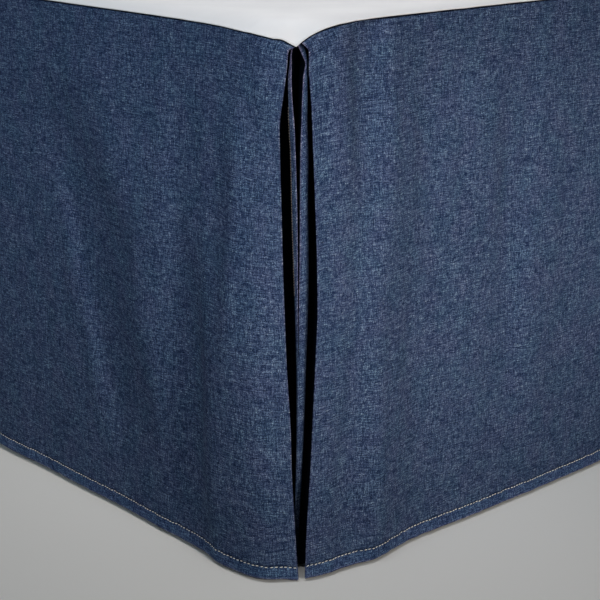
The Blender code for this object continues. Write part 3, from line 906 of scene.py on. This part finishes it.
CREAM_THREAD = ((0.82, 0.80, 0.75), (0.56, 0.53, 0.48))
BROWN_THREAD = ((0.170, 0.130, 0.120), (0.100, 0.095, 0.065))
THREAD_TWISTS = (1500.0, 1500.0, 2500.0)  # per metre
THREAD_BUMP = 0.00004


def thread_material(name, pale, dark):
    """Twisted sewing thread with uneven colour."""
    surface = Surface(name, roughness=0.6, sheen=0.1)
    twist = surface.noise(surface.object_place(), THREAD_TWISTS, detail=1.0)
    surface.colour(surface.blend(surface.ramp(twist, *FAST_CHANGE), dark, pale))
    surface.bump(twist, THREAD_BUMP)
    return surface.material


TICKING = (0.66, 0.64, 0.60)
TICKING_STRIPE = (0.42, 0.44, 0.48)
TICKING_GRAIN = (0.50, 0.48, 0.44)
GRAINS_PER_METRE = (900.0, 900.0, 900.0)
GRAIN_WEIGHT = 0.25
GRAIN_BUMP = 0.0002
STRIPES_PER_METRE = 40.0
STRIPE_SHARE = 0.22  # how much of the cloth the stripes cover
STRIPE_WEIGHT = 0.5


def ticking_material():
    """Woven mattress ticking with narrow stripes."""
    surface = Surface("box_spring_ticking", roughness=0.85, sheen=0.05, specular=0.2)
    point = surface.object_place()
    x, y, _ = surface.split(point)
    stripe = surface.math("FRACT", surface.math("MULTIPLY", surface.math("ADD", x, y), STRIPES_PER_METRE))
    band = surface.math("LESS_THAN", stripe, STRIPE_SHARE)
    cloth = surface.blend(surface.math("MULTIPLY", band, STRIPE_WEIGHT), TICKING, TICKING_STRIPE)
    grain = surface.noise(point, GRAINS_PER_METRE)
    grain_weight = surface.ramp(grain, *SLOW_CHANGE, 0.0, GRAIN_WEIGHT)
    surface.colour(surface.blend(grain_weight, cloth, TICKING_GRAIN))
    surface.bump(grain, GRAIN_BUMP)
    return surface.material


BEECH_PALE = (0.50, 0.31, 0.16)
BEECH_DARK = (0.36, 0.20, 0.10)
BEECH_FLECK = (0.22, 0.12, 0.06)
BEECH_GRAINS_PER_METRE = (90.0, 90.0, 7.0)
FLECKS_PER_METRE = (900.0, 900.0, 120.0)
FLECK_NOISE = (0.62, 0.75)  # the values between which a fleck comes up
FLECK_WEIGHT = 0.5


def wood_material():
    """Oiled beech: long grain with short darker flecks."""
    surface = Surface("beech", roughness=0.45, specular=0.4)
    point = surface.object_place()
    grain = surface.noise(point, BEECH_GRAINS_PER_METRE, detail=4.0, roughness=0.6)
    fleck = surface.noise(point, FLECKS_PER_METRE, detail=1.0)
    wood = surface.blend(surface.ramp(grain, *SLOW_CHANGE), BEECH_PALE, BEECH_DARK)
    fleck_weight = surface.ramp(fleck, *FLECK_NOISE, 0.0, FLECK_WEIGHT)
    surface.colour(surface.blend(fleck_weight, wood, BEECH_FLECK))
    surface.bump(grain, GRAIN_BUMP)
    return surface.material


# The deck


def deck_lines(half, steps):
    """Grid lines from -half to half, closest together at the rim."""
    side = half - graded(RIM_CORNER, DECK_LINE_STEPS)
    middle = np.linspace(side[-1], -side[-1], steps + 1)[1:-1]
    return np.concatenate([-side, middle[::-1], side[::-1]])


def round_corners(x, y, half_x, half_y, corner):
    """Bends a rectangular grid's corners into quarter discs."""
    p = np.maximum(np.abs(x) - (half_x - corner), 0.0) / corner
    q = np.maximum(np.abs(y) - (half_y - corner), 0.0) / corner
    dx = corner * p * (np.sqrt(1 - q**2 / 2) - 1)
    dy = corner * q * (np.sqrt(1 - p**2 / 2) - 1)
    return x + np.sign(x) * dx, y + np.sign(y) * dy


def rim_place(x, y):
    """(along, inset) of the rim's nearest point to a place inside it, with round head corners too."""
    across = np.abs(x) - RIM_HALF_FOOT
    lengthwise = np.abs(y) - (BED_LENGTH / 2 - RIM_CORNER)
    in_corner = (across > 0) & (lengthwise > 0)
    inset = RIM_CORNER - np.where(in_corner, np.hypot(across, lengthwise), np.maximum(across, lengthwise))
    turned = RIM_HALF_FOOT + RIM_CORNER * np.arctan2(across, lengthwise)
    beside = SIDE_START + np.maximum(y + BED_LENGTH / 2 - RIM_CORNER, 0.0)
    along = np.where(in_corner, turned, np.where(across > lengthwise, beside, np.abs(x)))
    along = np.where((y > 0) & (lengthwise > 0), SIDE_END, along)
    return np.copysign(along, x), inset


def deck(material):
    """The white sheet on the box spring, with a soft lip that stands over the drops."""
    edge = CLOTH / 2 + DECK_LIP
    half_x = BED_WIDTH / 2 + edge
    half_y = BED_LENGTH / 2 + edge
    lines = (-deck_lines(half_y, DECK_ROWS), deck_lines(half_x, DECK_COLUMNS))
    y, x = np.meshgrid(*lines, indexing="ij")
    x, y = round_corners(x, y, half_x, half_y, RIM_CORNER + edge)
    along, inset = rim_place(x, y)
    height = deck_height(along, inset)
    swells = np.maximum(DECK_SWELLS.size + rippled(x, y, DECK_SWELLS), 0.0)
    fine = rippled(x, y, DECK_RIPPLES) * smooth(inset / DECK_RIPPLES.reach)
    puckers = rippled(along, inset, RIM_PUCKERS) * bell(inset - RIM_PUCKER_LINE, RIM_PUCKERS.reach)
    lift = (swells + fine) * smooth(inset / DECK_SWELLS.reach) + puckers
    outer = vectors(x, y, height + DECK_CLOTH / 2 + lift)
    inner = vectors(x, y, height - DECK_CLOTH / 2 + lift)
    # Painted shade toward the rim, for the cotton's colour to read
    wear_and_painted_light = vectors(bell(inset, RIM_SHADE_REACH), 0.0, 0.0)
    return shell("deck_sheet", outer, inner, material, vectors(x, y, 0.0), wear_and_painted_light)


# The box spring

BOX_CORNER = 0.115
BOX_CORNER_STEPS = 8
BOX_EDGE = TURN_DOWN - 0.006  # radius of its edges, as the solid has it
PIPING = 0.0030  # radius of the piping at its lower edge
PIPING_CENTRE = 0.0052  # of the piping, in from its sides and up from its underside
BORDER_PULL = 0.0012  # how far the border's middle is drawn in
BORDER_ROWS = 9
BOX_FLAT = 0.040  # how far in its flat top and bottom begin
# (inset, height) places on its underside, up to the piping
BOX_UNDERSIDE = ((BOX_FLAT, 0.0), (BOX_EDGE + 0.001, 0.0), (BOX_EDGE - 0.004, 0.0008))


def box_profile():
    """(inset, height) from the underside round the piped lower edge, up the border and over the top edge."""
    height = box_high.z - box_low.z
    turns = np.radians(np.arange(-140, 61, 20))
    piping = [(PIPING_CENTRE - PIPING * math.cos(t), PIPING_CENTRE + PIPING * math.sin(t)) for t in turns]
    up = np.linspace(BOX_EDGE, height - BOX_EDGE, BORDER_ROWS)
    border = [(BORDER_PULL * math.sin(math.pi * (z - up[0]) / (up[-1] - up[0])), z) for z in up]
    turns = np.radians((30, 60, 90))
    over = [(BOX_EDGE * (1 - math.cos(t)), height - BOX_EDGE * (1 - math.sin(t))) for t in turns]
    return [*BOX_UNDERSIDE, *piping, (BORDER_PULL, 2 * PIPING_CENTRE), *border, *over, (BOX_FLAT, height)]


def box_ring(inset, height):
    """Points round the box spring's plan, moved in from its sides."""
    points = []
    for quarter, (sign_x, sign_y) in enumerate(((1, 1), (-1, 1), (-1, -1), (1, -1))):
        for step in range(BOX_CORNER_STEPS + 1):
            turn = math.pi / 2 * (quarter + step / BOX_CORNER_STEPS)
            x = sign_x * (box_high.x - BOX_CORNER) + (BOX_CORNER - inset) * math.cos(turn)
            y = sign_y * (box_high.y - BOX_CORNER) + (BOX_CORNER - inset) * math.sin(turn)
            points.append((x, y, box_low.z + height))
    return points


def box_cover(material):
    """The box spring's ticking, with a piped lower edge and a border that is drawn in a little."""
    rings = [box_ring(inset, height) for inset, height in box_profile()]
    points = [point for ring in rings for point in ring]
    count = len(rings[0])
    underside = tuple(reversed(range(count)))
    top = tuple(range(len(points) - count, len(points)))
    faces = [underside, *tube_faces(0, len(rings), count), top]
    return mesh_object("box_cover", points, faces, material)


# Sewing


def capsule(radius, length, sides=6):
    """Points and faces of a small stitch along +X, as a rounded rod."""
    points = [(-length / 2, 0.0, 0.0)]
    for place, fullness in STITCH_PROFILE[1:-1]:
        across = radius * fullness
        for turn in 2 * math.pi * np.arange(sides) / sides:
            points.append((length / 2 * place, across * math.cos(turn), across * math.sin(turn)))
    points.append((length / 2, 0.0, 0.0))
    last = len(points) - 1
    faces = tube_faces(1, len(STITCH_PROFILE) - 2, sides)
    for i in range(sides):
        j = (i + 1) % sides
        faces += [(0, 1 + j, 1 + i), (last - sides + i, last - sides + j, last)]
    return np.array(points), faces


def rim_outward(along):
    """The level direction out of the rim."""
    far, near = rim(along, 1.0), rim(along, 0.0)
    return np.array([far[0] - near[0], far[1] - near[1], 0.0])


def sewn(name, stitch, spots, outs, tilts, material):
    """A row of stitches as one mesh. Each runs from its first spot to its last, tilted by its angle."""
    points, faces = stitch
    all_points, all_faces = [], []
    for i, ((first, middle, last), out, tilt) in enumerate(zip(spots, outs, tilts)):
        run = (last - first) / np.linalg.norm(last - first)
        rise = np.cross(out, run)
        turned_run = run * math.cos(tilt) + rise * math.sin(tilt)
        turned_rise = rise * math.cos(tilt) - run * math.sin(tilt)
        height = points[:, 2:] * STITCH_FLATNESS * out
        all_points.append(middle + points[:, :1] * turned_run + points[:, 1:2] * turned_rise + height)
        all_faces += [tuple(i * len(points) + n for n in face) for face in faces]
    return mesh_object(name, np.concatenate(all_points).tolist(), all_faces, material)


def hem_stitches(name, first, last, material, seed):
    """The row of stitches above a hem, from first to last along the rim."""
    rng = np.random.default_rng(seed)
    count = round((last - first) / STITCH_PITCH)
    pitch = (last - first) / count
    reach = STITCH_LENGTH / 3
    spots, outs = [], []
    for i in range(count):
        along = first + pitch * (i + 0.5) + rng.normal(0.0, STITCH_DRIFT)
        share = 1 - (STITCH_LINE + rng.normal(0.0, STITCH_WANDER)) / DROP_HEIGHT
        places = np.array([along - reach, along, along + reach])
        shares = np.full(3, share)
        outward = CLOTH / 2 + fine_relief(places, shares) + STITCH_THREAD * STITCH_SINK
        spots.append(drop_surface(places, shares, outward))
        outs.append(rim_outward(along))
    tilts = STITCH_TILT + rng.normal(0.0, STITCH_TILT_SPREAD, count)
    return sewn(name, capsule(STITCH_THREAD, STITCH_LENGTH), spots, outs, tilts, material)


def overlock(name, hand, material, seed):
    """The overlocked thread down the outer edge of the ridge by the foot drop, as crossing stitches."""
    rng = np.random.default_rng(seed)
    shares = np.arange(OVERLOCK_FROM, OVERLOCK_TO, OVERLOCK_PITCH / DROP_HEIGHT)
    reach = OVERLOCK_LENGTH / 3 / DROP_HEIGHT
    spots, outs = [], []
    for share in shares:
        places = np.array([share + reach, share, share - reach])
        past_split = split_size("foot_outer", places) + rng.normal(0.0, OVERLOCK_WANDER)
        depth = split_size("crest", places) + RIDGE_CROWN
        spots.append(insert_surface(hand, past_split, depth, places, CLOTH / 2 + OVERLOCK_THREAD))
        outs.append(rim_outward(hand * SPLIT_ALONG))
    swing = np.where(np.arange(len(shares)) % 2, 1.0, -1.0)
    tilts = OVERLOCK_TILT * swing + rng.normal(0.0, OVERLOCK_TILT_SPREAD, len(shares))
    return sewn(name, capsule(OVERLOCK_THREAD, OVERLOCK_LENGTH), spots, outs, tilts, material)


# Camera, floor and light


FLOOR_SIZE = 14.0
FLOOR_COLOUR = (0.74, 0.735, 0.72, 1.0)


def add_floor():
    surface = Surface("pale_floor", roughness=0.9, specular=0.1)
    surface.colour(FLOOR_COLOUR)
    bpy.ops.mesh.primitive_plane_add(size=FLOOR_SIZE, location=(0.0, 0.0, 0.0))
    floor = bpy.context.object
    floor.name = "floor"
    floor.data.materials.append(surface.material)


def add_camera():
    data = bpy.data.cameras.new("view")
    data.sensor_width = SENSOR_WIDTH
    data.lens = CAMERA_FOCAL_PIXELS / PHOTO_WIDTH_PIXELS * SENSOR_WIDTH
    camera = bpy.data.objects.new("view", data)
    camera.location = CAMERA_PLACE
    camera.rotation_euler = (math.pi / 2 - CAMERA_PITCH, 0.0, CAMERA_HEADING)
    bpy.context.scene.collection.objects.link(camera)
    bpy.context.scene.camera = camera


# A lamp stands at a distance from the corner, by its heading and elevation in degrees, and points at its
# aim. Its cone is flat: `height` is its height over its width.
Lamp = namedtuple("Lamp", "name heading elevation distance aim strength colour half_cone height radius")
LAMPS = (
    Lamp("key", -8, 20, 2.4, (0.762, -0.830, 0.25), 0.95, (1.0, 0.915, 0.83), 13, 0.60, 0.16),
    Lamp("front", -64, 34, 2.4, (0.572, -1.016, 0.52), 0.565, (0.73, 0.90, 1.0), 16, 0.75, 0.20),
    Lamp("above", -45, 80, 2.4, (1.05, -1.31, 0.0), 0.27, (1.0, 1.0, 1.0), 30, 1.0, 0.40),
    Lamp("back", 135, 45, 5.0, (0.0, 0.0, 0.2), 0.42, (1.0, 1.0, 1.0), 40, 1.0, 0.80),
)
WORLD_COLOUR = (0.96, 1.0, 1.0, 1.0)
WORLD_STRENGTH = 0.205
LAMP_CORNER = (BED_WIDTH / 2, -BED_LENGTH / 2, 0.25)


def add_lamp(lamp):
    """A soft spot whose strength is the light that it throws on a white surface, at its aim, facing it."""
    heading, elevation = math.radians(lamp.heading), math.radians(lamp.elevation)
    level = math.cos(elevation)
    out = Vector((math.cos(heading) * level, math.sin(heading) * level, math.sin(elevation)))
    place = Vector(LAMP_CORNER) + lamp.distance * out
    data = bpy.data.lights.new(lamp.name, "SPOT")
    data.spot_size = 2 * math.radians(lamp.half_cone)
    data.spot_blend = 1.0
    data.shadow_soft_size = lamp.radius
    reach = (Vector(lamp.aim) - place).length
    data.energy = lamp.strength * 4 * math.pi**2 * reach**2
    data.color = lamp.colour
    obj = bpy.data.objects.new(lamp.name, data)
    obj.location = place
    obj.rotation_euler = (Vector(lamp.aim) - place).to_track_quat("-Z", "Y").to_euler()
    obj.scale = (1.0, lamp.height, 1.0)
    bpy.context.scene.collection.objects.link(obj)


def add_light():
    for lamp in LAMPS:
        add_lamp(lamp)
    world = bpy.data.worlds.new("studio")
    world.use_nodes = True
    background = world.node_tree.nodes["Background"]
    background.inputs["Color"].default_value = WORLD_COLOUR
    background.inputs["Strength"].default_value = WORLD_STRENGTH
    bpy.context.scene.world = world
    bpy.context.scene.view_settings.view_transform = "Standard"


def dress(piece, slot, *nodes):
    """Makes a piece ride on the model and hides what it stands for."""
    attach(piece, "root")
    if nodes:
        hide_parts(*nodes)
    return piece


def main():
    chambray = chambray_material()
    cream = thread_material("cream_thread", *CREAM_THREAD)
    brown = thread_material("brown_thread", *BROWN_THREAD)
    foot_end = SPLIT_ALONG + SECTIONS[0].foot_edge
    side_start = SPLIT_ALONG + SECTIONS[0].side_edge

    foot = dress(drop("foot_panel", foot_stations(), chambray), "skirt_chambray", "foot_drop")
    foot_row = dress(hem_stitches("foot_stitches", -foot_end, foot_end, cream, 21), "skirt_chambray")
    for side, hand, seed in (("right", 1.0, 22), ("left", -1.0, 23)):
        panel = drop(f"side_panel_{side}", side_stations(hand), chambray)
        dress(panel, "skirt_chambray", f"side_drop_{side}")
        first, last = sorted((hand * side_start, hand * SIDE_END))
        row = dress(hem_stitches(f"side_stitches_{side}", first, last, cream, seed), "skirt_chambray")
        pleat = insert(f"pleat_{side}", hand, chambray)
        dress(pleat, "skirt_chambray", f"corner_insert_{side}")
        edging = dress(overlock(f"overlock_{side}", hand, brown, seed + 10), "skirt_chambray")

    dress(box_cover(ticking_material()), "box_spring_ticking", "box_spring")
    sheet = dress(deck(cotton_material()), "deck_cotton", "deck")

    wood = wood_material()
    for name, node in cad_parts.items():
        if name.startswith("leg_"):
            node.data.materials.clear()
            node.data.materials.append(wood)

    add_floor()
    add_camera()
    add_light()


main()
